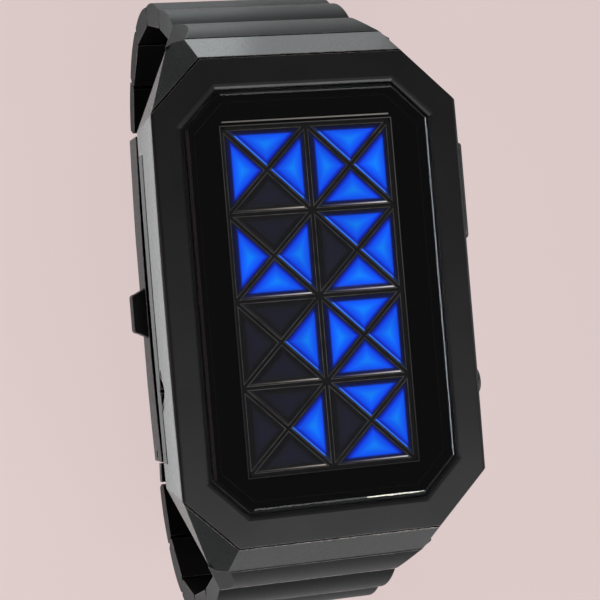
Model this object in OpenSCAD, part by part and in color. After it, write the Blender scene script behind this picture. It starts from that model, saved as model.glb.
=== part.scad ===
/* [Case] */
// Width of the bezel across its long sides
case_w = 32; // [30:0.5:34]
// Length of the bezel from 12 to 6 o'clock
case_l = 49; // [47:0.5:52]
// How far a cut corner of the bezel runs along its short side
corner_x = 5.4; // [4.5:0.1:6]
// How far a cut corner of the bezel runs along its long side
corner_y = 5.35; // [4.5:0.05:6]
// Outward bow of each long side at its middle
side_bow = 0.15; // [0.1:0.05:0.3]
// Thickness from the bezel's face to the back
case_t = 8.4; // [8.2:0.1:9.2]
// How far the end facet runs out past the bezel
facet_run = 3.1; // [2.6:0.1:3.4]
// How far the end facet drops
facet_drop = 6.5; // [6:0.1:7]
// Wall between the cavity and the long side
wall = 2.65; // [2.5:0.05:3]
// Depth of the back's rim up to the seam
back_rim = 2.15; // [2:0.05:2.3]

/* [Bezel and crystal] */
// Thickness of the bezel's rim
bezel_t = 0.6; // [0.5:0.05:0.8]
// Depth of the collar that holds the crystal
collar_depth = 1.8; // [1.7:0.1:2]
// Radius of the bezel's long outer edges
edge_r = 0.5; // [0.3:0.05:0.55]
// Width of the bezel beside the crystal
rim_side = 3.25; // [3:0.05:3.5]
// Width of the bezel beyond the crystal's ends
rim_end = 3.4; // [3.1:0.05:3.7]
// Cut corner of the crystal
crystal_cut = 3.6; // [3:0.1:4.2]
// Thickness of the crystal
crystal_t = 1.8; // [1.6:0.1:2]
// Height of the crystal above the bezel
crystal_rise = 0.7; // [0.5:0.05:0.8]
// Bevel round the crystal's top
crystal_bevel = 0.45; // [0.3:0.05:0.6]
// Gap round the crystal, filled by its gasket lower down
crystal_gap = 0.15; // [0.1:0.05:0.3]

/* [Display] */
// Columns of square cells
cell_cols = 2; // [1:1:2]
// Rows of square cells
cell_rows = 4; // [3:1:4]
// Black border beside the cells, in from the crystal's side
border_side = 3.95; // [3.6:0.05:4.4]
// Black border beyond the cells, in from the crystal's end
border_end = 3.6; // [3.2:0.05:4]
// Thickness of the light grid
grid_t = 2.2; // [2:0.1:2.5]
// Width of a rib between two lenses
rib_w = 0.6; // [0.5:0.05:0.8]
// Width of the bevel round a lens
lens_bevel = 0.5; // [0.3:0.05:0.6]
// Height of a lens above the grid
lens_rise = 0.3; // [0.2:0.05:0.35]
// Side of a light emitting chip
led_side = 1.5; // [1:0.1:1.6]
// Diameter of the coin cell
battery_d = 20; // [16:1:20]
// Thickness of the coin cell
battery_t = 1.6; // [1.2:0.1:1.6]

/* [Buttons] */
// Length of the long button
bar_l = 10.2; // [8:0.1:11]
// Height of the long button
bar_h = 2.1; // [1.8:0.1:2.3]
// Place of the long button along the case
bar_y = 9.9; // [9:0.1:10.5]
// Diameter of the round button
round_d = 3.2; // [2.6:0.1:3.4]
// Place of the round button along the case
round_y = -10.2; // [-11:0.1:-9]
// How far the long button stands out
bar_proud = 1.1; // [0.9:0.05:1.4]
// How far the round button stands out
round_proud = 0.9; // [0.8:0.05:1.2]
// Travel of both buttons
button_travel = 0.6; // [0.4:0.05:0.6]

/* [Bracelet] */
// Width of a link
link_w = 20; // [18:0.5:20.5]
// Distance between two link pins
pitch = 7.5; // [7:0.1:7.8]
// Height of a link above its pins at the ends
lip_h = 0.95; // [0.85:0.05:1.05]
// Extra height of the dome at the middle of a link
dome = 0.55; // [0.4:0.05:0.8]
// Depth of a link below its pins
under = 1.15; // [1.05:0.05:1.25]
// Radius of the knuckles
knuckle_r = 0.75; // [0.7:0.05:0.8]
// Radius of a link pin
pin_r = 0.4; // [0.35:0.05:0.45]
// Width of the middle knuckle
tongue_w = 7; // [5:0.5:9]
// Downward slope of the first hinged link
first_slope = 67; // [66:1:68]
// Bend at each later pin
bends = [10, 22, 31, 29]; // [5:1:35]

/* [Clasp] */
// Radius of the clasp's outer face
clasp_r = 120; // [110:1:130]
// Height of the clasp's walls over its floor
clasp_wall_h = 4.4; // [4.3:0.05:4.6]
// Thickness of the clasp's floor
clasp_floor = 1.2; // [1.1:0.05:1.3]
// Thickness of the clasp's walls
clasp_wall = 1.2; // [1:0.05:1.4]
// Depth of the flat ground on the clasp's outer face
flat_depth = 0.35; // [0.25:0.05:0.4]
// Thickness of a folding blade
blade_t = 1; // [0.8:0.05:1]
// Gap between a blade and the clasp's wall beside it
blade_gap = 1.2; // [0.8:0.1:1.8]
// Length of a clasp button
catch_l = 6.1; // [5.4:0.1:6.6]
// Travel of a clasp button
catch_travel = 0.7; // [0.5:0.05:0.7]

/* [Hidden] */
$fn = 64;

// Fits
run_gap = 0.03;
slip = 0.05;
clear = 0.1;
side_gap = 0.1;
eps = 0.01;
big = 60;

// Heights below the bezel's face
seam_z = back_rim - case_t;
seam_gap = 0.15;
seam_groove = 0.3;
seam_deep = 0.3;
cavity_w = case_w - 2 * wall;
cavity_l = case_l - 2 * wall;
cavity_cut = corner_x - wall * (2 - sqrt(2));
crystal_w = case_w - 2 * rim_side;
crystal_l = case_l - 2 * rim_end;
collar_w = crystal_w + 2 * crystal_gap + 2;
collar_l = crystal_l + 2 * crystal_gap + 2;
collar_cut = crystal_cut + 0.7;
ledge_z = crystal_rise - crystal_t;
ledge_in = 1;
window_w = crystal_w - 2 * ledge_in;
window_l = crystal_l - 2 * ledge_in;
window_cut = crystal_cut - 0.5;
mask_t = 0.45;
mask_margin = 0.15;
mask_cut = 0.5;
cell_w = (crystal_w - 2 * border_side) / cell_cols;
cell_l = (crystal_l - 2 * border_end) / cell_rows;
grid_top = ledge_z - mask_t;
grid_bottom = grid_top - grid_t;
grid_rim = 0.9;
grid_w = cell_cols * cell_w + 2 * grid_rim;
grid_l = cell_rows * cell_l + 2 * grid_rim;
lens_t = 1.2;
led_t = 0.4;
board_t = 0.6;
board_space = 0.3;
main_top = grid_bottom - board_t - board_space;
main_bottom = main_top - board_t;
contact_t = 0.3;
battery_top = main_bottom - contact_t;
clip_t = 0.15;
back_t = 0.75;
lip_in = 0.85;
lip_h_back = 0.9;
frame_bottom = -case_t + back_t + clear;
battery_y = -8.5;
chip_y = 9.5;

// Where the buttons sit
side_x = case_w / 2 + side_bow;
button_z = -3.35;
recess_x = side_x - 1.15;
cavity_x = cavity_w / 2;
bore_x = recess_x - 0.7;
stem_r = 0.5;
bore_gap = 0.05;
spring_out = 0.9;
spring_in = 0.6;
seal_t = 0.45;
guide_offset = 3.2;
clip_thick = 0.3;
clip_r = 1;
switch_in = grid_w / 2 + 0.2;
switch_half = 1.4;
switch_h = 2;

// The bracelet's path in the case's own heights, from the first pin down
first_out = 2.1;
first_down = 8.7;
first_pin = [case_l / 2 + facet_run + first_out, -facet_drop - first_down];
end_slope = 70;
lip_gap = 0.12;
cheek = 0.8;
swing_gap = 0.1;
corner_in = 0.55;
pin_half = link_w / 2 - cheek - 0.5;
ear_half = link_w / 2 - cheek - side_gap;
reach = 2;
link_count = len(bends) + 1;
function slope(i) = i == 0 ? first_slope : slope(i - 1) + bends[i - 1];
function joint_at(i) = i == 0
    ? first_pin
    : joint_at(i - 1) + pitch * [cos(slope(i - 1)), -sin(slope(i - 1))];
last_pin = joint_at(link_count);

// The clasp's circle passes a set depth outside the last pins
clasp_in = 2.15;
clasp_centre_z = last_pin[1] + sqrt(pow(clasp_r - clasp_in, 2) - pow(last_pin[0], 2));
face_z = clasp_r - clasp_centre_z - flat_depth;
hub_z = clasp_centre_z + face_z;
floor_r = clasp_r - clasp_floor;
outer_blade_r = floor_r - 0.5;
inner_blade_r = outer_blade_r - blade_t - 0.3;
wall_r = clasp_r - clasp_wall_h;
cover_pin_in = 3.7;
cover_pin_y = cover_pin_in - last_pin[0];
cover_pin_r = clasp_r - 2;
fold_pin_in = 4.8;
fold_pin_y = last_pin[0] - fold_pin_in;
fold_pin_r = inner_blade_r - 0.05 + 0.2;
hinge_r = 0.5;
hinge_knuckle = 0.85;
fold_knuckle = 1.2;
cover_end_out = 0.43;
cover_end_y = last_pin[0] + cover_end_out;
cover_tail = 0.9;
catch_h = 2;
catch_r = (wall_r + floor_r) / 2;
catch_proud = 1.65;
catch_taper = 0.6;
catch_round = 0.5;
catch_flange = 0.8;
post_t = 0.4;
catch_spring_l = 0.87;
clasp_half = link_w / 2;
inner_half = clasp_half - clasp_wall;
blade_half = inner_half - blade_gap;
catch_waist = inner_half - run_gap - catch_flange - catch_travel - catch_spring_l - post_t - clear;
catch_waist_l = 8;

function on_clasp(y, r) = [y, hub_z - sqrt(r * r - y * y)];

// An octagon centred on the origin: full width and length, and its cut corners
module octagon(w, l, cut_x, cut_y) {
    polygon([
        [-w / 2 + cut_x, l / 2], [w / 2 - cut_x, l / 2],
        [w / 2, l / 2 - cut_y], [w / 2, -l / 2 + cut_y],
        [w / 2 - cut_x, -l / 2], [-w / 2 + cut_x, -l / 2],
        [-w / 2, -l / 2 + cut_y], [-w / 2, l / 2 - cut_y],
    ]);
}

// The bezel's outline, with its long sides bowed a little
module bowed_octagon(inset = 0) {
    straight = case_l / 2 - corner_y;
    bow_r = (straight * straight + side_bow * side_bow) / (2 * side_bow);
    stretch = side_bow * corner_y / corner_x;
    intersection() {
        octagon(
            case_w + 2 * side_bow - 2 * inset, case_l - 2 * inset,
            corner_x + side_bow - inset * (2 - sqrt(2)),
            corner_y + stretch - inset * (2 - sqrt(2))
        );
        translate([side_x - bow_r - inset, 0]) circle(bow_r, $fn = 2400);
        translate([bow_r + inset - side_x, 0]) circle(bow_r, $fn = 2400);
    }
}

// A block beyond the plane through three points, on the side its turn points to
module beyond(a, b, c) {
    n = cross(b - a, c - a);
    translate(a)
        rotate([0, acos(n[2] / norm(n)), atan2(n[1], n[0])])
            translate([-big, -big, 0]) cube([2 * big, 2 * big, big]);
}

module each_corner() {
    for (flip_x = [0, 1])
        for (flip_y = [0, 1])
            mirror([flip_x, 0, 0]) mirror([0, flip_y, 0]) children();
}

// Everything on the case is drawn from the bezel's face down
module in_case() {
    translate([0, 0, face_z]) children();
}

// A 2-D side view of Y and Z, made solid along X about the middle
module along_x(width) {
    rotate([90, 0, 90]) linear_extrude(width, center = true) children();
}

// The same, on both sides from one distance to another
module along_x_pair(near, far) {
    for (side = [-1, 1])
        translate([side * (near + far) / 2, 0, 0]) along_x(far - near) children();
}

// Where a cut corner's lower edge ends at the back, in from the side and out past the bezel
back_in = 3.7;
back_out = 2.3;

// The faceted block that the case middle and the back are cut from
module case_block() {
    half_l = case_l / 2;
    a = [case_w / 2 - corner_x, half_l, 0];
    h = [case_w / 2, half_l - corner_y, 0];
    q = [case_w / 2 - corner_x, half_l + facet_run, -facet_drop];
    far = [case_w / 2 - back_in, half_l + back_out, -case_t];
    low = [case_w / 2 - 0.05, half_l - corner_y - 0.55, -case_t];
    left = [-1, 0, 0];
    difference() {
        translate([0, 0, -case_t]) linear_extrude(case_t - bezel_t) intersection() {
            square([case_w + 2 * side_bow, case_l + 2 * facet_run], center = true);
            bow_and_ends();
        }
        each_corner() beyond(a, h, q);
        each_corner() beyond(h, low, far);
        for (flip = [0, 1]) mirror([0, flip, 0]) beyond(a, q, a + left);
    }
}

module bow_and_ends() {
    straight = case_l / 2 - corner_y;
    bow_r = (straight * straight + side_bow * side_bow) / (2 * side_bow);
    intersection() {
        translate([side_x - bow_r, 0]) circle(bow_r, $fn = 2400);
        translate([bow_r - side_x, 0]) circle(bow_r, $fn = 2400);
    }
}

// The seam turns down at each cut corner and reaches the back's face at its end
seam_turn = [case_w / 2 - 0.03, case_l / 2 - corner_y - 0.35];
seam_end = [case_w / 2 - 2.6, case_l / 2 - 0.2];
back_cut = 8.6;

// The space that the back fills below a height
module back_space(top, grow = 0) {
    a = [seam_turn[0], seam_turn[1], top];
    b = [seam_end[0], seam_end[1], top - (seam_z + case_t)];
    inward = [a[1] - b[1], b[0] - a[0], 0];
    translate([0, 0, top - big]) linear_extrude(big)
        octagon(case_w + 2 + 2 * grow, case_l - 2 + 2 * grow, back_cut + grow, back_cut + grow);
    difference() {
        translate([0, 0, top - big]) linear_extrude(big)
            square([case_w + 2, 2 * (seam_end[1] + grow)], center = true);
        each_corner() beyond(a, b, a + inward);
    }
}

// The diamond notch where a blade pries the back off, with a slit at its middle
notch_y = -8.4;
notch_half = [2.4, 1.4];
notch_deep = 0.8;
module pry_notch() {
    out = 0.5;
    y = notch_half[0] * (notch_deep + out) / notch_deep;
    z = notch_half[1] * (notch_deep + out) / notch_deep;
    translate([-side_x, notch_y, seam_z + 0.6]) {
        polyhedron(
            points = [[-out, -y, 0], [-out, 0, -z], [-out, y, 0], [-out, 0, z], [notch_deep, 0, 0]],
            faces = [[0, 1, 2, 3], [0, 4, 1], [1, 4, 2], [2, 4, 3], [3, 4, 0]]
        );
        translate([-out, -0.2, -1.25]) cube([out + notch_deep + 0.4, 0.4, 2.5]);
    }
}

// Where a button's stem passes: bore, spring bore and seal groove
module stem_bores() {
    translate([cavity_x - 1, 0, 0]) rotate([0, 90, 0]) cylinder(r = stem_r + bore_gap, h = 4);
    translate([bore_x, 0, 0]) rotate([0, 90, 0]) cylinder(r = spring_out + slip, h = 2);
    translate([seal_x, 0, 0]) rotate([0, 90, 0]) cylinder(r = spring_out, h = seal_t);
}
seal_x = cavity_x + 0.25;

module bar_outline(grow) {
    length = bar_l + 2 * grow;
    height = bar_h + 2 * grow;
    intersection() {
        square([length, height], center = true);
        union() {
            square([length - height, height], center = true);
            for (side = [-1, 1])
                translate([side * (length - height) / 2, 0]) circle(height / 2);
        }
    }
}

// A side outline on the case's right wall, made solid along X between two depths
module on_wall(y, from_x, to_x) {
    translate([from_x, y, button_z]) rotate([90, 0, 90]) linear_extrude(to_x - from_x) children();
}

module case_middle() color("#3a3a3c") in_case() difference() {
    case_block();
    translate([0, 0, -case_t - 1]) linear_extrude(case_t + 2)
        octagon(cavity_w, cavity_l, cavity_cut, cavity_cut);
    translate([0, 0, -collar_depth - slip]) linear_extrude(big)
        octagon(collar_w + 2 * slip, collar_l + 2 * slip, collar_cut, collar_cut);
    back_space(seam_z + seam_gap, slip);
    pry_notch();
    on_wall(bar_y, recess_x, side_x + 2) bar_outline(slip);
    on_wall(round_y, recess_x, side_x + 2) circle(round_d / 2 + slip);
    for (y = [bar_y - guide_offset, bar_y + guide_offset, round_y])
        translate([0, y, button_z]) stem_bores();
    translate([cavity_x - 1, bar_y, button_z])
        rotate([0, 90, 0]) cylinder(r = stem_r + bore_gap, h = 4);
    for (flip = [0, 1]) mirror([0, flip, 0]) end_slot();
}

// The slot in the case's end that takes the end link's tongue, and its cross bore
end_tongue = 6;
end_bar = [case_l / 2 + facet_run - 1.35, -case_t + 0.75];
end_bar_r = 0.45;
end_bar_half = 9;
module end_slot() {
    translate([-end_tongue - slip, end_bar[0] - 1.1 - slip, -case_t - 1])
        cube([2 * (end_tongue + slip), big, 1 + end_slot_h + slip]);
    translate([0, end_bar[0], end_bar[1]])
        rotate([0, 90, 0]) cylinder(r = end_bar_r, h = 2 * end_bar_half, center = true);
}
end_slot_h = 1.55;

module bezel() color("#2b2b2d") in_case() difference() {
    union() {
        translate([0, 0, -bezel_t]) linear_extrude(bezel_t) bowed_octagon();
        translate([0, 0, -collar_depth]) linear_extrude(collar_depth)
            octagon(collar_w, collar_l, collar_cut, collar_cut);
    }
    translate([0, 0, ledge_z]) linear_extrude(big) crystal_outline(crystal_gap);
    translate([0, 0, ledge_z]) linear_extrude(gasket_h) crystal_outline(gasket_w);
    translate([0, 0, -big]) linear_extrude(2 * big) window_outline();
    for (i = [0 : len(rim_steps) - 2]) rim_fall(rim_steps[i], rim_steps[i + 1]);
    for (flip = [0, 1]) mirror([flip, 0, 0]) translate([side_x, 0, 0]) rotate([90, 0, 0])
        linear_extrude(case_l, center = true) difference() {
            translate([-edge_r, -edge_r]) square([edge_r + 1, edge_r + 1]);
            translate([-edge_r, -edge_r]) circle(edge_r);
        }
}

module crystal_outline(grow = 0) {
    octagon(crystal_w + 2 * grow, crystal_l + 2 * grow, crystal_cut + 0.6 * grow, crystal_cut + 0.6 * grow);
}

module window_outline(shrink = 0) {
    octagon(window_w - 2 * shrink, window_l - 2 * shrink, window_cut, window_cut);
}

// The bezel rolls down to the crystal: distance from its opening, and depth, from outside in
rim_steps = [[0.65, 0], [0.38, 0.04], [0.15, 0.14], [0, 0.34]];
rim_depth = rim_steps[len(rim_steps) - 1][1];

// The space above eight planes that fall from one step to the next
module rim_fall(from, to) {
    grow = crystal_gap + from[0];
    run = from[0] - to[0];
    fall = to[1] - from[1];
    w = crystal_w / 2 + grow;
    l = crystal_l / 2 + grow;
    cut = crystal_cut + 0.6 * grow;
    corner = [w, l - cut, -from[1]];
    end = [w - cut, l, -from[1]];
    difference() {
        translate([0, 0, -rim_depth]) linear_extrude(rim_depth + 1) octagon(2 * w + 4, 2 * l + 4, cut, cut);
        for (flip = [0, 1]) mirror([flip, 0, 0]) beyond(corner, corner + [-run, 0, -fall], corner + [0, 1, 0]);
        for (flip = [0, 1]) mirror([0, flip, 0]) beyond(end, end + [0, -run, -fall], end + [-1, 0, 0]);
        each_corner() beyond(corner, corner + [-run / sqrt(2), -run / sqrt(2), -fall], end);
    }
}

// The crystal's polished edge: distance in from its side, and depth below its top
crystal_steps = [[0, crystal_bevel], [0.62 * crystal_bevel, 0.2 * crystal_bevel], [crystal_bevel, 0]];
module crystal_edge(from, to) {
    run = to[0] - from[0];
    rise = from[1] - to[1];
    w = crystal_w / 2 - from[0];
    l = crystal_l / 2 - from[0];
    cut = crystal_cut - 0.6 * from[0];
    corner = [w, l - cut, crystal_rise - from[1]];
    end = [w - cut, l, crystal_rise - from[1]];
    for (flip = [0, 1]) mirror([flip, 0, 0]) beyond(corner, corner + [0, 1, 0], corner + [-run, 0, rise]);
    for (flip = [0, 1]) mirror([0, flip, 0]) beyond(end, end + [-1, 0, 0], end + [0, -run, rise]);
    each_corner() beyond(corner, end, corner + [-run / sqrt(2), -run / sqrt(2), rise]);
}

module crystal() color("#0c0c10") in_case() difference() {
    translate([0, 0, ledge_z]) linear_extrude(crystal_t) crystal_outline();
    for (i = [0 : len(crystal_steps) - 2]) crystal_edge(crystal_steps[i], crystal_steps[i + 1]);
}

gasket_w = 0.4;
gasket_h = 0.6;
module crystal_gasket() color("#111111") in_case()
    translate([0, 0, ledge_z]) linear_extrude(gasket_h) difference() {
        crystal_outline(gasket_w);
        crystal_outline();
    }

module display_mask() color("#08080a") in_case()
    translate([0, 0, grid_top]) linear_extrude(mask_t) difference() {
        window_outline(slip);
        octagon(
            cell_cols * cell_w + 2 * mask_margin, cell_rows * cell_l + 2 * mask_margin,
            mask_cut, mask_cut
        );
    }

// The four triangles of a cell, counted from the 12 o'clock side to the right
function cell_at(col, row) = [
    (col - (cell_cols - 1) / 2) * cell_w,
    ((cell_rows - 1) / 2 - row) * cell_l,
];

// Which triangles are lit in each cell: top, right, bottom, left
lit = [
    [[1, 1, 0, 1], [0, 1, 1, 1], [0, 1, 0, 0], [0, 1, 0, 0]],
    [[1, 1, 1, 1], [1, 1, 1, 0], [1, 1, 1, 1], [1, 1, 1, 0]],
];

// One triangle of a cell, set in from its ribs' centre lines, with its apex at the cell's middle
module cell_triangle(inset) {
    a = $half[0];
    b = $half[1];
    apex = inset * norm($half) / a;
    base = b - inset;
    reach_x = (base - apex) * a / b;
    polygon([[0, apex], [reach_x, base], [-reach_x, base]]);
}

module each_triangle(want) {
    for (col = [0 : cell_cols - 1])
        for (row = [0 : cell_rows - 1])
            for (side = [0 : 3])
                if (want < 0 || lit[col][row][side] == want) {
                    $half = side % 2 == 0 ? [cell_w / 2, cell_l / 2] : [cell_l / 2, cell_w / 2];
                    translate([cell_at(col, row)[0], cell_at(col, row)[1], 0])
                        rotate([0, 0, -90 * side]) children();
                }
}

// A triangle shrinks towards its in-centre, which every inset shares
function in_radius(half) = half[0] * half[1] / (half[0] + norm(half));
function well_middle(half) = half[1] - in_radius(half);
function lens_scale(half) = 1 - lens_bevel / (in_radius(half) - rib_w / 2);

module light_grid() color("#15151a") in_case() difference() {
    translate([0, 0, (grid_top + grid_bottom) / 2])
        cube([grid_w, grid_l, grid_t], center = true);
    each_triangle(-1) translate([0, 0, grid_bottom - 1]) linear_extrude(grid_t + 2)
        cell_triangle(rib_w / 2);
}

// A lens fills the top of its well and stands a little above the grid, with a bevelled edge
module lens() {
    translate([0, 0, grid_top + lens_rise - lens_t]) linear_extrude(lens_t - lens_rise)
        cell_triangle(rib_w / 2);
    middle = well_middle($half);
    translate([0, middle, grid_top]) linear_extrude(lens_rise, scale = lens_scale($half))
        translate([0, -middle]) cell_triangle(rib_w / 2);
}

module lens_lit() color("#0050ff") in_case() each_triangle(1) lens();

module lens_unlit() color("#1e1e28") in_case() each_triangle(0) lens();

module led_chips() color("#e8e4c8") in_case() each_triangle(-1)
    translate([0, well_middle($half), grid_bottom + led_t / 2]) cube([led_side, led_side, led_t], center = true);

module display_board() color("#14401e") in_case()
    translate([0, 0, grid_bottom - board_t / 2]) cube([grid_w, grid_l, board_t], center = true);

switch_y = [bar_y, round_y];
switch_far = cavity_x - 0.95;
module main_board() color("#14401e") in_case() difference() {
    translate([0, 0, main_bottom]) linear_extrude(board_t) union() {
        square([grid_w, grid_l], center = true);
        for (y = switch_y) translate([0, y - 2]) square([switch_far, 4]);
    }
}

// The parts below the main board: place, and size
chip = [[0, chip_y], [7, 7, 0.8]];
crystal_can = [[6.5, chip_y + 1], [1.5, 3.2, 0.7]];
chip_caps = [[[-7.5, chip_y - 2], [0.8, 1.6, 0.5]], [[-5.5, chip_y - 2], [0.8, 1.6, 0.5]]];
contact_r = 2.5;
module board_parts() color("#202020") in_case() {
    for (item = [chip, crystal_can, chip_caps[0], chip_caps[1]])
        translate([item[0][0], item[0][1], main_bottom - item[1][2] / 2]) cube(item[1], center = true);
    translate([0, battery_y, battery_top]) cylinder(r = contact_r, h = contact_t);
}

module battery() color("#b8b8bc") in_case()
    translate([0, battery_y, battery_top - battery_t]) difference() {
        cylinder(d = battery_d, h = battery_t);
        translate([0, 0, battery_t - 0.25]) difference() {
            cylinder(d = battery_d + 1, h = 1);
            translate([0, 0, -0.5]) cylinder(d = battery_d - 2, h = 2);
        }
    }

module battery_clip() color("#c8b060") in_case()
    translate([0, battery_y, battery_top - battery_t - clip_t]) linear_extrude(clip_t) union() {
        square([clip_arm, 2 * frame_reach_y], center = true);
        square([battery_d - 0.4, clip_arm], center = true);
    }
clip_arm = 4;
frame_reach_y = 10.6;

frame_gap = 0.1;
chip_room = [17, 10];
chip_room_low = 4.5;
switch_room = 11;
module module_frame() color("#26262a") in_case() difference() {
    union() {
        translate([0, 0, frame_step]) linear_extrude(-collar_depth - frame_gap - frame_step)
            octagon(cavity_w - 2 * frame_gap, cavity_l - 2 * frame_gap, cavity_cut, cavity_cut);
        translate([0, 0, frame_bottom]) linear_extrude(frame_step - frame_bottom)
            octagon(cavity_w - 2 * lip_in - 2 * frame_gap, cavity_l - 2 * lip_in - 2 * frame_gap, cavity_cut, cavity_cut);
    }
    translate([-grid_w / 2 - slip, -grid_l / 2 - slip, main_bottom])
        cube([grid_w + 2 * slip, grid_l + 2 * slip, big]);
    translate([0, battery_y, -big + main_bottom + eps]) cylinder(d = battery_d + 0.2, h = big);
    translate([-chip_room[0] / 2, chip_y - chip_room_low, -big + main_bottom + eps])
        cube([chip_room[0], chip_room[1], big]);
    translate([-clip_arm / 2 - clear, battery_y - frame_reach_y - slip, battery_top - battery_t - clip_t - 2])
        cube([clip_arm + 2 * clear, 2 * (frame_reach_y + slip), 2 + clip_t + slip]);
    for (y = switch_y) translate([grid_w / 2 - 1, y - switch_room / 2, main_bottom])
        cube([big, switch_room, -collar_depth - main_bottom - 0.3]);
}
frame_step = seam_z + seam_gap + lip_h_back + 0.1;

module back_gasket() color("#101010") in_case()
    translate([0, 0, frame_step - 0.6]) linear_extrude(0.4) difference() {
        octagon(cavity_w, cavity_l, cavity_cut, cavity_cut);
        octagon(cavity_w - 0.7, cavity_l - 0.7, cavity_cut, cavity_cut);
    }

module case_back() color("#2e2e30") in_case() difference() {
    union() {
        intersection() {
            case_block();
            union() {
                back_space(seam_z - seam_groove);
                translate([0, 0, -big + seam_z]) linear_extrude(big)
                    octagon(case_w - 2 * seam_deep, case_l - 2.5, back_cut - 0.6, back_cut - 0.6);
            }
        }
        translate([0, 0, -case_t + back_t]) linear_extrude(frame_step - 0.75 + case_t - back_t)
            octagon(cavity_w - 2 * slip, cavity_l - 2 * slip, cavity_cut, cavity_cut);
    }
    translate([0, 0, -case_t + back_t]) linear_extrude(big)
        octagon(cavity_w - 2 * lip_in, cavity_l - 2 * lip_in, cavity_cut, cavity_cut);
    pry_notch();
}

// A stem along X from inside the case out to the cap
module stem(y, from_x, to_x) {
    translate([from_x, y, button_z]) rotate([0, 90, 0]) cylinder(r = stem_r, h = to_x - from_x);
}

cap_in = recess_x + button_travel + 0.1;
cap_bevel = 0.25;
stem_in = cavity_x - 0.55;
module time_button() color("#39393b") in_case() {
    difference() {
        on_wall(bar_y, cap_in, side_x + bar_proud) bar_outline(-slip);
        for (side = [-1, 1]) translate([side_x + bar_proud, bar_y, button_z + side * (bar_h / 2 - slip)])
            rotate([0, 45, 0]) cube([cap_bevel * sqrt(2), bar_l + 2, cap_bevel * sqrt(2)], center = true);
    }
    for (y = [bar_y - guide_offset, bar_y + guide_offset]) stem(y, stem_in, cap_in + eps);
    stem(bar_y, cavity_x - 0.25, cap_in + eps);
}

module set_button() color("#39393b") in_case() {
    on_wall(round_y, cap_in, side_x + round_proud - cap_bevel) circle(round_d / 2 - slip);
    translate([side_x + round_proud - cap_bevel, round_y, button_z]) rotate([0, 90, 0])
        cylinder(r1 = round_d / 2 - slip, r2 = round_d / 2 - slip - cap_bevel, h = cap_bevel);
    stem(round_y, stem_in, cap_in + eps);
}

// A ring round a stem, along X
module stem_ring(y, from_x, length, outer, inner) {
    translate([from_x, y, button_z]) rotate([0, 90, 0]) difference() {
        cylinder(r = outer, h = length);
        translate([0, 0, -1]) cylinder(r = inner, h = length + 2);
    }
}

// The springs are drawn as short as they are with the button pressed
pressed = recess_x - bore_x;
module time_button_springs() color("#9a9a9a") in_case()
    for (y = [bar_y - guide_offset, bar_y + guide_offset]) stem_ring(y, bore_x, pressed, spring_out, spring_in);

module set_button_spring() color("#9a9a9a") in_case() stem_ring(round_y, bore_x, pressed, spring_out, spring_in);

module time_button_seals() color("#0c0c0c") in_case()
    for (y = [bar_y - guide_offset, bar_y + guide_offset])
        stem_ring(y, seal_x, seal_t, spring_out, stem_r + run_gap);

module set_button_seal() color("#0c0c0c") in_case()
    stem_ring(round_y, seal_x, seal_t, spring_out, stem_r + run_gap);

clip_x = cavity_x - clip_thick - 0.05;
module time_button_clips() color("#8a8a8a") in_case()
    for (y = [bar_y - guide_offset, bar_y + guide_offset]) stem_ring(y, clip_x, clip_thick, clip_r, stem_r);

module set_button_clip() color("#8a8a8a") in_case() stem_ring(round_y, clip_x, clip_thick, clip_r, stem_r);

module tact_switches() color("#303034") in_case()
    for (y = switch_y) translate([switch_in, y - switch_half, main_top])
        cube([stem_in - button_travel - clear - switch_in, 2 * switch_half, switch_h]);

// The side view of a link: flat below, domed above, eased where it bends inwards
module link_profile(from_s = lip_gap, to_s = pitch - lip_gap) {
    middle = pitch / 2;
    half = middle - lip_gap;
    dome_r = (half * half + dome * dome) / (2 * dome);
    intersection() {
        polygon([
            [from_s, -0.3], [from_s + corner_in - lip_gap, -under],
            [to_s - corner_in + lip_gap, -under], [to_s, -0.3],
            [to_s, lip_h + 2], [from_s, lip_h + 2],
        ]);
        translate([middle, lip_h + dome - dome_r]) circle(dome_r, $fn = 360);
    }
}

// Puts a shape drawn along a link, outwards and across it in its place on the 12 o'clock side
module at_pin(i, tilt) {
    translate([0, joint_at(i)[0], joint_at(i)[1] + face_z])
        rotate([-tilt, 0, 0]) rotate([90, 0, 90]) children();
}

module across(half) {
    linear_extrude(2 * half, center = true) children();
}

module across_pair(near, far) {
    for (side = [-1, 1])
        translate([0, 0, side * (near + far) / 2]) linear_extrude(far - near, center = true) children();
}

module tongue_shape() {
    circle(knuckle_r);
    translate([0, -knuckle_r]) square([reach, 2 * knuckle_r]);
}

module ear_shape() {
    circle(knuckle_r);
    translate([-reach, -knuckle_r]) square([reach, 2 * knuckle_r]);
}

open_end = 1.2;
// A link with its middle knuckle at its first pin and two outer knuckles at the next
module link_body(ears = true) {
    difference() {
        union() {
            difference() {
                across(link_w / 2) link_profile(to_s = ears ? pitch - lip_gap : pitch - open_end);
                across(link_w / 2 - cheek) circle(knuckle_r + swing_gap);
            }
            across(tongue_w / 2) tongue_shape();
            if (ears) translate([pitch, 0, 0]) across_pair(tongue_w / 2 + side_gap, ear_half) ear_shape();
        }
        across(tongue_w / 2 + 1) circle(pin_r + run_gap);
        if (ears) {
            translate([pitch, 0, 0]) across(tongue_w / 2 + side_gap) circle(knuckle_r + swing_gap);
            translate([pitch, 0, 0]) across(pin_half) circle(pin_r);
        }
    }
}

module link_at(i, ears = true) {
    at_pin(i - 1, slope(i - 1)) link_body(ears);
}

module pin_at(i) {
    at_pin(i - 1, 0) across(pin_half) circle(pin_r);
}

module six_side() {
    mirror([0, 1, 0]) children();
}

module at_first_pin() {
    translate([0, first_pin[0], first_pin[1]])
        rotate([-end_slope, 0, 0]) rotate([90, 0, 90]) children();
}

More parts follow.
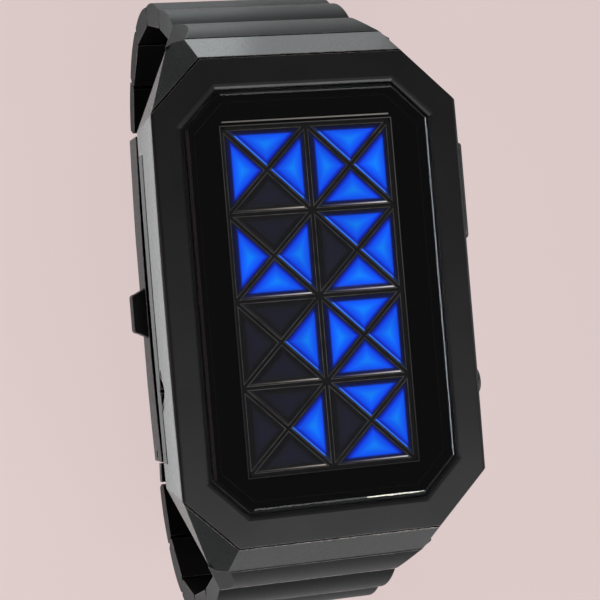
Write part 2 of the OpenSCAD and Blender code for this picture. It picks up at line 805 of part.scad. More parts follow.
// The fixed link that carries the first pin, hooked into the case's end
end_top = -facet_drop - 0.12;
module end_link() {
    n = [sin(end_slope), cos(end_slope)];
    s = [cos(end_slope), -sin(end_slope)];
    start = [case_l / 2 + facet_run + 0.12, end_top];
    lip = first_pin + lip_h * n - 2 * lip_gap * s;
    chord = lip - start;
    bulge = 0.55;
    arc_r = (pow(norm(chord) / 2, 2) + bulge * bulge) / (2 * bulge);
    outward = [-chord[1], chord[0]] / norm(chord);
    arc_centre = (start + lip) / 2 - (arc_r - bulge) * outward;
    inner = first_pin - under * n - corner_in * s;
    tuck = inner - 6.4 * s;
    foot_out = (case_t - facet_drop) * corner_x * facet_run / (corner_y * facet_drop);
    cap_a = [case_w / 2 - corner_x, case_l / 2 + facet_run, -facet_drop];
    cap_b = cap_a + [foot_out, 0, facet_drop - case_t];
    cap_c = [link_w / 2, lip[0], lip[1]];
    back_corner = [case_w / 2 - back_in, case_l / 2 + back_out, -case_t];
    wall_y = case_l / 2 + facet_run + slip;
    difference() {
        union() {
            intersection() {
                along_x(2 * back_corner[0]) intersection() {
                    polygon([
                        start, start + [4, 0], lip + 3 * n, lip,
                        first_pin - 0.3 * n - 2 * lip_gap * s, inner, tuck,
                        [tuck[0], -case_t - slip], [wall_y, -case_t - slip], [wall_y, end_top],
                    ]);
                    translate(arc_centre) circle(arc_r, $fn = 360);
                }
            }
            at_first_pin() across_pair(tongue_w / 2 + side_gap, ear_half) ear_shape();
            along_x(2 * end_tongue) translate([end_bar[0] - 1.1, -case_t - 0.3])
                square([wall_y - end_bar[0] + 1.2, end_slot_h + 0.3]);
        }
        for (flip = [0, 1]) mirror([flip, 0, 0]) {
            beyond(cap_a, cap_b, cap_c);
            beyond(back_corner, back_corner + [0, -1, 0], cap_c);
        }
        translate([0, end_bar[0], end_bar[1]]) rotate([0, 90, 0])
            cylinder(r = end_bar_r, h = 3 * end_bar_half, center = true);
        at_first_pin() {
            across(tongue_w / 2 + side_gap) circle(knuckle_r + swing_gap);
            across(pin_half) circle(pin_r);
        }
    }
}

module end_link_12() color("#4a4a4c") in_case() end_link();
module end_link_6() color("#4a4a4c") in_case() six_side() end_link();

module end_bars() color("#8a8a8c") in_case()
    for (flip = [0, 1]) mirror([0, flip, 0]) translate([0, end_bar[0], end_bar[1]])
        rotate([0, 90, 0]) cylinder(r = end_bar_r, h = 2 * end_bar_half, center = true);

module first_pins() color("#8a8a8c") {
    pin_at(1);
    six_side() pin_at(1);
}

module link_a1() color("#454547") link_at(1);
module link_a2() color("#454547") link_at(2);
module link_a3() color("#454547") link_at(3);
module link_a4() color("#454547") link_at(4);
module link_a5() color("#454547") link_at(5, ears = false);
module link_b1() color("#454547") six_side() link_at(1);
module link_b2() color("#454547") six_side() link_at(2);
module link_b3() color("#454547") six_side() link_at(3);
module link_b4() color("#454547") six_side() link_at(4);
module link_b5() color("#454547") six_side() link_at(5);
module pin_a2() color("#8a8a8c") pin_at(2);
module pin_a3() color("#8a8a8c") pin_at(3);
module pin_a4() color("#8a8a8c") pin_at(4);
module pin_a5() color("#8a8a8c") pin_at(5);
module pin_b2() color("#8a8a8c") six_side() pin_at(2);
module pin_b3() color("#8a8a8c") six_side() pin_at(3);
module pin_b4() color("#8a8a8c") six_side() pin_at(4);
module pin_b5() color("#8a8a8c") six_side() pin_at(5);
module pin_b6() color("#8a8a8c") six_side() pin_at(6);

wall_top = 18;

// A curved strip of the clasp in side view, between two radii and two places along it
module strip(inner, outer, from_y, to_y) {
    intersection() {
        translate([0, hub_z]) difference() {
            circle(outer, $fn = 1440);
            circle(inner, $fn = 1440);
        }
        translate([from_y, -big]) square([to_y - from_y, big + wall_top]);
    }
}

module clasp_spot(y, r) {
    translate(on_clasp(y, r)) children();
}

last_at = [last_pin[0], last_pin[1] + face_z];
module clasp_cover() color("#404042") difference() {
    union() {
        along_x(2 * clasp_half) strip(floor_r, clasp_r, cover_pin_y - cover_tail, cover_end_y);
        along_x_pair(inner_half, clasp_half) strip(wall_r, floor_r + eps, cover_pin_y - cover_tail, cover_end_y);
        along_x(2 * (link_w / 2 - cheek)) {
            strip(clasp_r - clasp_in - knuckle_r, clasp_r, cover_end_y - 1, last_at[0]);
            translate(last_at) circle(knuckle_r);
        }
        for (side = [-1, 1])
            translate([side * (catch_waist + clear + post_t / 2), 0, 0])
                along_x(post_t) strip(catch_r - 0.8, floor_r + eps, -1, 1);
    }
    translate([-big, -big, -big]) cube([2 * big, 2 * big, big]);
    along_x(2 * inner_half) clasp_spot(cover_pin_y, cover_pin_r) circle(hinge_knuckle + swing_gap);
    along_x(3 * clasp_half) clasp_spot(cover_pin_y, cover_pin_r) circle(hinge_r);
    along_x(2 * pin_half) translate(last_at) circle(pin_r);
    along_x(3 * clasp_half) strip(catch_r - catch_h / 2 - slip, catch_r + catch_h / 2 + slip,
        -catch_l / 2 - slip, catch_l / 2 + slip);
}

module clasp_bar() color("#8a8a8c") along_x(2 * pin_half) translate(last_at) circle(pin_r);

module blade_waist() {
    for (side = [-1, 1])
        translate([side * (catch_waist + big / 2), 0, 0]) cube([big, catch_waist_l, big], center = true);
}

fold_split = 3;
// The blade hinged to the cover, folded under it
module blade_outer() color("#5a5a5c") difference() {
    union() {
        difference() {
            along_x(2 * blade_half) strip(outer_blade_r - blade_t, outer_blade_r, cover_pin_y, fold_pin_y);
            blade_waist();
            along_x_pair(fold_split - side_gap / 2, blade_half + 1)
                clasp_spot(fold_pin_y, fold_pin_r) circle(fold_knuckle + clear);
        }
        along_x(2 * blade_half) clasp_spot(cover_pin_y, cover_pin_r) circle(hinge_knuckle);
        along_x(2 * fold_split - side_gap) clasp_spot(fold_pin_y, fold_pin_r) circle(fold_knuckle);
    }
    along_x(3 * blade_half) clasp_spot(cover_pin_y, cover_pin_r) circle(hinge_r + run_gap);
    along_x(3 * blade_half) clasp_spot(fold_pin_y, fold_pin_r) circle(hinge_r + run_gap);
}

// The blade that lies on the wrist and carries the 6 o'clock side
arm_t = 1;
arm_short = 0.25;
module arm_side(root, tip, square_to) {
    polygon([root + square_to, tip + square_to, tip - square_to, root - square_to]);
}

module blade_inner() color("#5a5a5c") {
    root = on_clasp(cover_pin_y + 0.1, inner_blade_r - blade_t / 2);
    tip = [-last_at[0], last_at[1]];
    along = (tip - root) / norm(tip - root);
    square_to = [-along[1], along[0]] * arm_t / 2;
    difference() {
        union() {
            difference() {
                along_x(2 * blade_half)
                    strip(inner_blade_r - blade_t, inner_blade_r, cover_pin_y - 0.3, fold_pin_y);
                blade_waist();
                along_x(2 * fold_split + side_gap)
                    clasp_spot(fold_pin_y, fold_pin_r) circle(fold_knuckle + clear);
            }
            along_x_pair(fold_split + side_gap / 2, blade_half)
                clasp_spot(fold_pin_y, fold_pin_r) circle(fold_knuckle);
            along_x(tongue_w) {
                arm_side(root, tip, square_to);
                translate(tip) circle(knuckle_r);
            }
            difference() {
                along_x(2 * clasp_half) intersection() {
                    arm_side(root, tip, square_to);
                    translate([tip[0] + arm_short, 0])
                        square([cover_pin_y - cover_tail - 2 * clear - tip[0] - arm_short, big]);
                }
                along_x(2 * (link_w / 2 - cheek)) translate(tip) circle(knuckle_r + swing_gap);
            }
        }
        along_x(3 * blade_half) clasp_spot(fold_pin_y, fold_pin_r) circle(hinge_r);
        along_x(tongue_w + 1) translate(tip) circle(pin_r + run_gap);
    }
}

module cover_pin() color("#8a8a8c")
    along_x(2 * clasp_half - 0.2) clasp_spot(cover_pin_y, cover_pin_r) circle(hinge_r);

module fold_pin() color("#8a8a8c")
    along_x(2 * blade_half) clasp_spot(fold_pin_y, fold_pin_r) circle(hinge_r);

// A push button of the clasp, tapered to its end, with the flange that keeps it in its wall
module catch_plan(out_x) {
    half = catch_l / 2;
    tip = half - catch_taper;
    r = catch_round;
    polygon([
        [0, -half], [clasp_half, -half], [out_x - r, -tip], [out_x, r - tip],
        [out_x, tip - r], [out_x - r, tip], [clasp_half, half], [0, half],
    ]);
    for (side = [-1, 1]) translate([out_x - r, side * (tip - r)]) circle(r);
}

module catch_piece() {
    out_x = clasp_half + catch_proud;
    flange_x = inner_half - run_gap;
    intersection() {
        along_x_between(flange_x - catch_flange / 2, out_x)
            strip(catch_r - catch_h / 2, catch_r + catch_h / 2, -catch_l / 2, catch_l / 2);
        linear_extrude(wall_top) catch_plan(out_x);
    }
    along_x_between(flange_x - catch_flange, flange_x)
        strip(catch_r - catch_h / 2 - 0.35, catch_r + catch_h / 2 + 0.35, -catch_l / 2 - 0.5, catch_l / 2 + 0.5);
}

module along_x_between(from_x, to_x) {
    translate([(from_x + to_x) / 2, 0, 0]) along_x(to_x - from_x) children();
}

module catch_right() color("#39393b") catch_piece();
module catch_left() color("#39393b") mirror([1, 0, 0]) catch_piece();

module catch_springs() color("#9a9a9a") for (side = [-1, 1])
    mirror([side < 0 ? 1 : 0, 0, 0])
        along_x_between(catch_waist + clear + post_t, inner_half - run_gap - catch_flange - catch_travel)
            clasp_spot(0, catch_r) difference() {
                circle(0.8);
                circle(0.5);
            }

case_middle();
bezel();
crystal();
crystal_gasket();
display_mask();
light_grid();
lens_lit();
lens_unlit();
led_chips();
display_board();
main_board();
board_parts();
battery();
battery_clip();
module_frame();
back_gasket();
case_back();
time_button();
time_button_springs();
time_button_seals();
time_button_clips();
set_button();
set_button_spring();
set_button_seal();
set_button_clip();
tact_switches();
end_link_12();
end_link_6();
end_bars();
first_pins();
link_a1();
link_a2();
link_a3();
link_a4();
link_a5();
pin_a2();
pin_a3();
pin_a4();
pin_a5();
link_b1();
link_b2();
link_b3();
link_b4();
link_b5();
pin_b2();
pin_b3();
pin_b4();
pin_b5();
pin_b6();
clasp_cover();
clasp_bar();
blade_outer();
blade_inner();
cover_pin();
fold_pin();
catch_left();
catch_right();
catch_springs();
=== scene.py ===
import math

import bmesh
import bpy
from mathutils import Matrix, Vector


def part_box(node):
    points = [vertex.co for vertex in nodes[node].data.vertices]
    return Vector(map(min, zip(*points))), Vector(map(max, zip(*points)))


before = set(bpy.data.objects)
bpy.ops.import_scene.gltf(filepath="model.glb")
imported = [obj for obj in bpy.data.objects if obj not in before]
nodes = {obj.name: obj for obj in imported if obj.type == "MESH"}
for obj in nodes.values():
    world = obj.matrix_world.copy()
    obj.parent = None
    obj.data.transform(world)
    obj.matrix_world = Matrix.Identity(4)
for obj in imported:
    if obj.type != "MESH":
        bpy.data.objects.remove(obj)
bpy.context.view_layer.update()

MM = 0.001
FACE_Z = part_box("bezel")[1].z

# The display: square cells in two columns and four rows, centred on the case
CELL_W, CELL_L = 8.8 * MM, 8.75 * MM
COLUMNS, ROWS = 2, 4
HALF_W, HALF_L = COLUMNS / 2 * CELL_W, ROWS / 2 * CELL_L

# The step in the bezel that carries the crystal, from its floor, painted black as shade, to where the
# coat begins
LEDGE_LOW, LEDGE_HIGH = FACE_Z - 0.95 * MM, FACE_Z - 0.75 * MM

# The camera looks down on the dial, turned a little to the 9 o'clock side. Its distance and
# shifts are in millimetres, and its focal length is in points of a picture this wide.
YAW, PITCH, ROLL = math.radians(15.0), math.radians(-0.43), math.radians(4.76)
DISTANCE, SHIFT_X, SHIFT_Y = 179.84, 2.22, 0.46
FOCAL, PICTURE, SENSOR = 1776.2, 600, 36


def srgb(r, g, b):
    """Linear colour from values of 0 to 255 as a picture shows them."""
    out = []
    for c in (r, g, b):
        c /= 255
        out.append(c / 12.92 if c <= 0.04045 else ((c + 0.055) / 1.055) ** 2.4)
    return (*out, 1)


BACKGROUND = srgb(221, 203, 202)
CEILING = (0.11, 0.11, 0.115, 1)
WARM = (1, 0.88, 0.87)
COAT = srgb(22, 22, 23), srgb(28, 28, 29)
# The paler colour of rubbed edges: wear, and a painted highlight along them as well
WORN_AND_HIGHLIGHT = srgb(176, 174, 171)


def make_camera():
    yaw = Matrix.Rotation(YAW, 3, "Y")
    pitch = Matrix.Rotation(PITCH, 3, "X")
    roll = Matrix.Rotation(ROLL, 3, "Z")
    turn = (roll @ pitch @ yaw).transposed()
    data = bpy.data.cameras.new("camera")
    data.sensor_width = SENSOR
    data.lens = FOCAL * SENSOR / PICTURE
    data.clip_start, data.clip_end = 0.01, 10
    camera = bpy.data.objects.new("camera", data)
    bpy.context.scene.collection.objects.link(camera)
    place = turn @ Vector((-SHIFT_X, -SHIFT_Y, DISTANCE)) * MM
    camera.matrix_world = Matrix.Translation(place + Vector((0, 0, FACE_Z))) @ turn.to_4x4()
    bpy.context.scene.camera = camera


class Nodes:
    """A material's node tree, with short ways to add to it."""

    def __init__(self, name):
        self.material = bpy.data.materials.new(name)
        self.material.use_nodes = True
        self.tree = self.material.node_tree
        self.shader = self.tree.nodes["Principled BSDF"]

    def add(self, kind, **values):
        node = self.tree.nodes.new(kind)
        for key, value in values.items():
            if hasattr(node, key):
                setattr(node, key, value)
            else:
                node.inputs[key.replace("_", " ")].default_value = value
        return node

    def link(self, start, end):
        self.tree.links.new(start, end)

    def set(self, **values):
        for key, value in values.items():
            self.shader.inputs[key.replace("_", " ")].default_value = value

    def drive(self, **sockets):
        """Link what other nodes put out to the shader's inputs."""
        for key, socket in sockets.items():
            self.link(socket, self.shader.inputs[key.replace("_", " ")])

    def where(self, scale=(1, 1, 1)):
        """Object coordinates, stretched by a scale along each axis."""
        place = self.add("ShaderNodeTexCoord")
        stretch = self.add("ShaderNodeMapping")
        stretch.inputs["Scale"].default_value = scale
        self.link(place.outputs["Object"], stretch.inputs["Vector"])
        return stretch.outputs["Vector"]

    def axes(self):
        split = self.add("ShaderNodeSeparateXYZ")
        self.link(self.where(), split.inputs[0])
        return split.outputs["X"], split.outputs["Y"], split.outputs["Z"]

    def math(self, operation, *values):
        node = self.add("ShaderNodeMath", operation=operation)
        for socket, value in zip(node.inputs, values):
            if isinstance(value, (int, float)):
                socket.default_value = value
            else:
                self.link(value, socket)
        return node.outputs[0]

    def noise(self, scale, detail=3, rough=0.5, stretch=(1, 1, 1)):
        node = self.add("ShaderNodeTexNoise", Scale=scale, Detail=detail, Roughness=rough)
        self.link(self.where(stretch), node.inputs["Vector"])
        return node.outputs["Fac"]

    def spread(self, value, low, high, from_low=0.3, from_high=0.7):
        """A value's range, which for noise is the middle it mostly stays in, mapped to another."""
        node = self.add("ShaderNodeMapRange")
        node.inputs["From Min"].default_value = from_low
        node.inputs["From Max"].default_value = from_high
        node.inputs["To Min"].default_value = low
        node.inputs["To Max"].default_value = high
        self.link(value, node.inputs["Value"])
        return node.outputs["Result"]

    def mix(self, factor, a, b):
        node = self.add("ShaderNodeMix", data_type="RGBA")
        self.link(factor, node.inputs["Factor"])
        for end, value in ((node.inputs[6], a), (node.inputs[7], b)):
            if isinstance(value, tuple):
                end.default_value = value
            else:
                self.link(value, end)
        return node.outputs[2]

    def ramp(self, value, *stops):
        node = self.add("ShaderNodeValToRGB")
        band = node.color_ramp.elements
        while len(band) < len(stops):
            band.new(0.5)
        for held, (place, colour) in zip(band, stops):
            held.position, held.color = place, colour
        self.link(value, node.inputs["Fac"])
        return node.outputs["Color"]

    def rounded(self, radius):
        """The normal as if each edge had a small radius, and how much an edge it is."""
        bevel = self.add("ShaderNodeBevel", samples=6, Radius=radius * MM)
        flat = self.add("ShaderNodeNewGeometry")
        same = self.add("ShaderNodeVectorMath", operation="DOT_PRODUCT")
        self.link(bevel.outputs["Normal"], same.inputs[0])
        self.link(flat.outputs["True Normal"], same.inputs[1])
        return bevel.outputs["Normal"], self.spread(same.outputs["Value"], 1, 0, 0.86, 0.995)

    def bump(self, height, strength, distance, normal=None):
        node = self.add("ShaderNodeBump", Strength=strength, Distance=distance)
        self.link(height, node.inputs["Height"])
        if normal is not None:
            self.link(normal, node.inputs["Normal"])
        self.drive(Normal=node.outputs["Normal"])


def coated_metal(name, base, light, worn_and_highlight, rough, stretch=(1, 1, 1), radius=0.16):
    """Blasted steel under a dark coat: fine grain, slow changes of tone, and paler edges that are both
    rubbed wear and a painted highlight.
    """
    m = Nodes(name)
    m.set(Metallic=1.0, Specular_Tint=(0.86, 0.97, 0.98, 1.0))
    normal, edge = m.rounded(radius)
    tone = m.mix(m.spread(m.noise(140, 4, 0.6), 0, 1), base, light)
    # Paler edges: rubbed wear, and also a painted highlight along them
    rubbed_and_highlight = m.math("MULTIPLY", edge, m.spread(m.noise(900, 3, 0.7), 0.35, 1, 0.35, 0.65))
    grain = m.noise(8200, 3, 0.7, stretch)
    m.drive(Base_Color=m.mix(rubbed_and_highlight, tone, worn_and_highlight), Roughness=m.spread(grain, rough - 0.05, rough + 0.07))
    m.bump(grain, 0.07, 0.00002, normal)
    return m


def bezel_coat():
    """The coat of the case, with painted shade, black and not metal, on the ledge under the glass that
    carries the crystal.
    """
    m = coated_metal("bezel_satin", srgb(60, 60, 61), srgb(66, 66, 67), WORN_AND_HIGHLIGHT, 0.4, radius=0.05)
    tone = m.shader.inputs["Base Color"].links[0].from_socket
    # Painted shade on the ledge: black, not metal and without gloss up to its floor, fading into the
    # coat by its top
    coat_not_painted_shade = m.spread(m.axes()[2], 0, 1, LEDGE_LOW, LEDGE_HIGH)
    m.drive(Base_Color=m.mix(coat_not_painted_shade, srgb(9, 9, 10), tone), Metallic=coat_not_painted_shade,
            Specular_IOR_Level=m.math("MULTIPLY", coat_not_painted_shade, 0.5))
    return m


def plain(name, colour, rough, metallic=0.0, grain=1500, strength=0.08, depth=0.00003,
          stretch=(1, 1, 1)):
    """A moulded or machined surface: one colour with fine uneven gloss."""
    m = Nodes(name)
    m.set(Metallic=metallic)
    other = (*[min(1, c * 1.25 + 0.002) for c in colour[:3]], 1)
    fine = m.noise(grain, 2, 0.5, stretch)
    m.drive(Base_Color=m.mix(m.spread(m.noise(200), 0, 1), colour, other),
            Roughness=m.spread(fine, rough - 0.04, rough + 0.06))
    m.bump(fine, strength, depth)
    return m


def crystal_glass():
    """Polished mineral glass with the faintest smears on it."""
    m = Nodes("crystal")
    m.set(Base_Color=(1, 1, 1, 1), Roughness=0.0, IOR=1.5, Transmission_Weight=1.0)
    smears = m.spread(m.noise(120, 4, 0.6), 0, 1)
    m.drive(Base_Color=m.mix(smears, (1, 1, 1, 1), (0.975, 0.985, 0.98, 1)))
    return m


def cell_place(m):
    """Where a point of the display lies in its own cell, from the middle, in metres."""
    x, y, _ = m.axes()
    across = m.math("SUBTRACT", m.math("WRAP", x, CELL_W, 0.0), CELL_W / 2)
    along = m.math("SUBTRACT", m.math("WRAP", y, CELL_L, 0.0), CELL_L / 2)
    return across, along, m.math("ABSOLUTE", across), m.math("ABSOLUTE", along)


def rib_distance(m, place):
    """How far the point is from the cell's nearest side and diagonal, in millimetres."""
    _, _, half_w, half_l = place
    side = m.math("SUBTRACT", CELL_W / 2, half_w)
    end = m.math("SUBTRACT", CELL_L / 2, half_l)
    base = m.math("MULTIPLY", m.math("MINIMUM", side, end), 1 / MM)
    slant = m.math("ABSOLUTE", m.math("SUBTRACT", half_w, half_l))
    return base, m.math("MULTIPLY", slant, math.sqrt(0.5) / MM)


def lens_highlights(m, place, base):
    """Masks of two painted highlights on bevel edges: above the falling diagonal, and along the foot of
    the cell, that one brighter towards its right-hand end.
    """
    across, along, half_w, _ = place
    above = m.math("MULTIPLY", m.math("ADD", across, along), math.sqrt(0.5) / MM)
    low_part = m.math("GREATER_THAN", m.math("MULTIPLY", along, -1.0), half_w)
    foot_highlight = m.math("MULTIPLY", low_part, m.math("COMPARE", base, 0.37, 0.07))
    foot_highlight = m.math("MULTIPLY", foot_highlight, m.spread(across, 0.12, 1, -3.5 * MM, 3.5 * MM))
    return m.math("COMPARE", above, 0.36, 0.08), foot_highlight


def rib_highlight(m):
    """A painted highlight: a fine line along both shoulders of each rib."""
    base, slant = rib_distance(m, cell_place(m))
    inner = m.math("COMPARE", m.math("MINIMUM", base, slant), 0.2, 0.035)
    return m.math("MULTIPLY", inner, m.spread(m.noise(700, 2), 0.35, 1))


def frame_highlight(m):
    """Painted highlights: the shoulder round the window, and a second one above it on the 12 o'clock
    side, brighter towards 12 and 3 o'clock.
    """
    x, y, _ = m.axes()
    past_x = m.math("SUBTRACT", m.math("MULTIPLY", m.math("ABSOLUTE", x), 1 / MM), HALF_W / MM)
    past_y = m.math("SUBTRACT", m.math("MULTIPLY", m.math("ABSOLUTE", y), 1 / MM), HALF_L / MM)
    up = m.math("SUBTRACT", m.math("MULTIPLY", y, 1 / MM), HALF_L / MM)
    window = m.math("COMPARE", m.math("MAXIMUM", past_x, past_y), 0.22, 0.045)
    second = m.math("MULTIPLY", m.math("COMPARE", up, 0.62, 0.07), m.math("LESS_THAN", past_x, 0.0))
    # Painted light: the highlights fade towards 6 and 9 o'clock
    bright = m.spread(m.math("ADD", x, y), 0.3, 1, -12 * MM, 22 * MM)
    lines = m.math("MAXIMUM", m.math("MULTIPLY", window, 0.45), second)
    return m.math("MULTIPLY", lines, bright)


def gloss_black(name, line, tone):
    """Moulded black plastic, with a painted highlight along its shoulders: a fine paler line that glows
    faintly.
    """
    m = Nodes(name)
    m.set(Specular_IOR_Level=0.3, Emission_Color=tone)
    black = m.mix(m.spread(m.noise(400, 3), 0, 1), srgb(7, 7, 9), srgb(9, 9, 11))
    # The painted highlight lightens the colour and adds a faint glow
    painted_highlight = line(m)
    fine = m.noise(3000, 2)
    m.drive(Base_Color=m.mix(painted_highlight, black, tone), Roughness=m.spread(fine, 0.16, 0.25),
            Emission_Strength=m.math("MULTIPLY", painted_highlight, 0.34))
    m.bump(fine, 0.05, 0.00002)
    return m


def lens(name):
    """Clear moulded tiles, and what marks their bevels: depth from a rib, a painted highlight on the
    diagonal edge and one on the foot, and mottle.
    """
    m = Nodes(name)
    m.set(Roughness=0.16, Specular_IOR_Level=0.02)
    place = cell_place(m)
    base, slant = rib_distance(m, place)
    diagonal_highlight, foot_highlight = lens_highlights(m, place, base)
    near = m.spread(m.math("MINIMUM", base, slant), 0, 1, 0.3, 1.8)
    m.bump(m.noise(1800, 2), 0.03, 0.00002)
    return m, base, near, diagonal_highlight, foot_highlight, m.spread(m.noise(260, 2), 0.88, 1.08)


def lens_lit():
    """The light behind the tile is strongest in the middle and falls off in the bevel, with painted
    highlights on the diagonal edge and along the foot.
    """
    m, base, near, diagonal_highlight, foot_highlight, mottle = lens("lens_lit")
    glow = m.ramp(near, (0.0, srgb(0, 6, 50)), (0.1, srgb(0, 26, 140)), (0.22, srgb(0, 46, 208)),
                  (0.3, srgb(0, 70, 242)), (0.6, srgb(0, 98, 254)), (1.0, srgb(0, 134, 255)))
    # Painted highlights: a pale blue line on the diagonal edge, and a near-white one along the foot that
    # glows at full strength
    with_highlights = m.mix(foot_highlight, m.mix(diagonal_highlight, glow, srgb(52, 118, 255)), srgb(214, 206, 206))
    level = m.math("MAXIMUM", m.spread(base, 0.1, 1, 0.7, 0.86), foot_highlight)
    m.set(Base_Color=srgb(0, 6, 40))
    m.drive(Emission_Color=with_highlights, Emission_Strength=m.math("MULTIPLY", mottle, level))
    return m


def lens_unlit():
    """A dark tile still takes a little of its neighbours' light, painted as a faint glow that is darker
    towards the ribs, with painted highlights on the diagonal edge and the foot.
    """
    m, _, near, diagonal_highlight, foot_highlight, mottle = lens("lens_unlit")
    tone = m.ramp(near, (0.0, srgb(10, 10, 13)), (0.27, srgb(16, 16, 20)), (0.36, srgb(25, 25, 36)),
                  (1.0, srgb(28, 27, 46)))
    # Painted highlights on the diagonal edge and the foot, over a faint painted glow
    with_highlights = m.mix(foot_highlight, m.mix(diagonal_highlight, tone, srgb(60, 56, 58)), srgb(190, 180, 172))
    level = m.math("MAXIMUM", m.math("MULTIPLY", foot_highlight, 0.8), 0.36)
    m.drive(Base_Color=tone, Emission_Color=with_highlights,
            Emission_Strength=m.math("MULTIPLY", mottle, level))
    return m


def paint(m, *names):
    for name in names:
        for held in nodes[name].material_slots:
            held.material = m.material


def paint_all():
    steel = plain("steel", srgb(120, 120, 122), 0.3, 1.0, 2400, 0.1, 0.00002, (1, 0.1, 1))
    # The third colour of each coat is its edge wear, which is also a painted highlight
    blasted = coated_metal("black_satin", *COAT, srgb(152, 150, 147), 0.44)
    brushed = coated_metal("black_brushed", *COAT, WORN_AND_HIGHLIGHT, 0.25, (1, 0.12, 1))
    touched = coated_metal("button_satin", srgb(66, 66, 67), srgb(74, 74, 75), srgb(140, 138, 135), 0.44)
    links = [f"link_{side}{i}" for side in "ab" for i in range(1, 6)]
    pins = [*[f"pin_a{i}" for i in range(2, 6)], *[f"pin_b{i}" for i in range(2, 7)]]
    paint(brushed, "case_middle", "clasp_cover", "blade_outer", "blade_inner")
    paint(blasted, "case_back", "end_link_12", "end_link_6", *links)
    paint(touched, "time_button", "set_button", "catch_left", "catch_right")
    paint(bezel_coat(), "bezel")
    paint(steel, "battery", "time_button_springs", "set_button_spring", "time_button_clips",
          "set_button_clip", "end_bars", "first_pins", "clasp_bar", "cover_pin", "fold_pin",
          "catch_springs", *pins)
    paint(plain("black_rubber", srgb(14, 14, 14), 0.7), "crystal_gasket", "back_gasket",
          "time_button_seals", "set_button_seal")
    paint(plain("black_plastic", srgb(12, 12, 14), 0.45), "module_frame", "tact_switches",
          "board_parts")
    paint(plain("brass", srgb(190, 160, 90), 0.3, 1.0), "battery_clip")
    paint(plain("board", srgb(14, 60, 24), 0.4), "display_board", "main_board")
    paint(plain("led", srgb(230, 225, 190), 0.5), "led_chips")
    # Painted highlights: pale glowing lines on the grid's ribs and round the mask's window
    paint(gloss_black("grid_black", rib_highlight, srgb(84, 79, 76)), "light_grid")
    paint(gloss_black("mask_black", frame_highlight, srgb(165, 161, 158)), "display_mask")
    paint(lens_lit(), "lens_lit")
    paint(lens_unlit(), "lens_unlit")
    paint(crystal_glass(), "crystal")


def square(name, m, half):
    """A flat square that faces up, twice this half wide in metres."""
    bm = bmesh.new()
    bmesh.ops.create_grid(bm, x_segments=1, y_segments=1, size=half)
    mesh = bpy.data.meshes.new(name)
    bm.to_mesh(mesh)
    bm.free()
    mesh.materials.append(m.material)
    made = bpy.data.objects.new(name, mesh)
    bpy.context.scene.collection.objects.link(made)
    return made


def make_floor():
    """The pale ground, as bright as the picture's, but dimmer in mirrors and through glass."""
    m = Nodes("floor")
    m.set(Base_Color=BACKGROUND, Roughness=1.0, Specular_IOR_Level=0.0)
    glow = m.add("ShaderNodeEmission", Strength=1.0, Color=BACKGROUND)
    path = m.add("ShaderNodeLightPath")
    through = m.math("MAXIMUM", path.outputs["Is Glossy Ray"], path.outputs["Is Transmission Ray"])
    seen = m.math("MAXIMUM", m.math("MULTIPLY", path.outputs["Is Camera Ray"], 0.88),
                  m.math("MULTIPLY", through, 0.3))
    both = m.add("ShaderNodeMixShader")
    m.link(seen, both.inputs["Fac"])
    m.link(m.shader.outputs["BSDF"], both.inputs[1])
    m.link(glow.outputs["Emission"], both.inputs[2])
    m.link(both.outputs["Shader"], m.tree.nodes["Material Output"].inputs["Surface"])
    floor = square("floor", m, 1.5)


def make_flag(name, place, side):
    """A matt dark card beside the watch that only its mirroring facets see."""
    m = Nodes(name)
    m.set(Base_Color=srgb(132, 123, 122), Roughness=1.0, Specular_IOR_Level=0.0)
    flag = square(name, m, side / 2 * MM)
    flag.location = Vector(place) * MM
    flag.visible_camera = flag.visible_diffuse = flag.visible_shadow = flag.visible_transmission = False


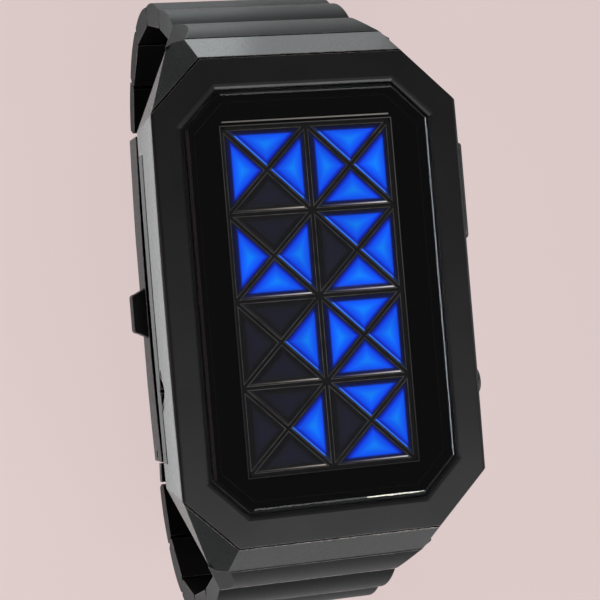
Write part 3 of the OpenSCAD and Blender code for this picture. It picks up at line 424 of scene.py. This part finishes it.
def area(name, place, aim, size, level, colour=(1, 1, 1)):
    """An area lamp in the row frame in millimetres, with its brightness as a surface."""
    data = bpy.data.lights.new(name, "AREA")
    data.shape = "RECTANGLE"
    data.size, data.size_y = size[0] * MM, size[1] * MM
    data.energy = level * math.pi * data.size * data.size_y
    data.color = colour
    lamp = bpy.data.objects.new(name, data)
    lamp.location = Vector(place) * MM
    way = Vector(aim) - Vector(place)
    lamp.rotation_mode = "QUATERNION"
    lamp.rotation_quaternion = way.to_track_quat("-Z", "Y")
    lamp.visible_camera = False
    bpy.context.scene.collection.objects.link(lamp)
    return lamp


def make_world():
    """A pale studio wall round a dark ceiling."""
    world = bpy.data.worlds.new("world")
    world.use_nodes = True
    tree = world.node_tree
    place = tree.nodes.new("ShaderNodeTexCoord")
    split = tree.nodes.new("ShaderNodeSeparateXYZ")
    tree.links.new(place.outputs["Generated"], split.inputs[0])
    band = tree.nodes.new("ShaderNodeValToRGB")
    low, high = band.color_ramp.elements
    low.position, low.color = 0.12, BACKGROUND
    high.position, high.color = 0.6, CEILING
    tree.links.new(split.outputs["Z"], band.inputs["Fac"])
    tree.links.new(band.outputs["Color"], tree.nodes["Background"].inputs["Color"])
    bpy.context.scene.world = world


def make_lights():
    """Large soft lamps, pale cards beside the walls, and two strips that draw the glass edge."""
    centre = (0, 0, 40)
    area("soft_over_6", (50, -165, 290), centre, (190, 110), 6.5)
    area("soft_low_side", (60, -270, 190), centre, (260, 120), 1.8)
    area("soft_high_side", (60, 260, 170), centre, (260, 140), 1.1)
    left = area("soft_left", (-150, 0, 115), (-40, 0, 0), (140, 44), 13.0)
    left.visible_glossy = False
    area("card_12_left", (-2, 74, 3), (-2, 70, 60), (22, 36), 1.2, WARM)
    area("card_12_wide", (8, 74, 3.5), (8, 70, 60), (44, 36), 0.8, WARM)
    area("card_9", (-38, 4, 3), (-38, 4, 60), (26, 88), 1.9, WARM)
    area("strip_6", (59, -154, 130), (11, -34, 49.7), (22, 16), 17.0, (1, 0.94, 0.85))
    area("strip_3", (156, 6, 97), (14, 4, 49.7), (74, 20), 5.0, (0.8, 0.9, 1))


bpy.context.scene.view_settings.view_transform = "Standard"
make_camera()
make_world()
make_floor()
make_flag("flag_12", (-40, 68, 3), 42)
make_flag("flag_6", (-40, -68, 3), 42)
make_lights()
paint_all()
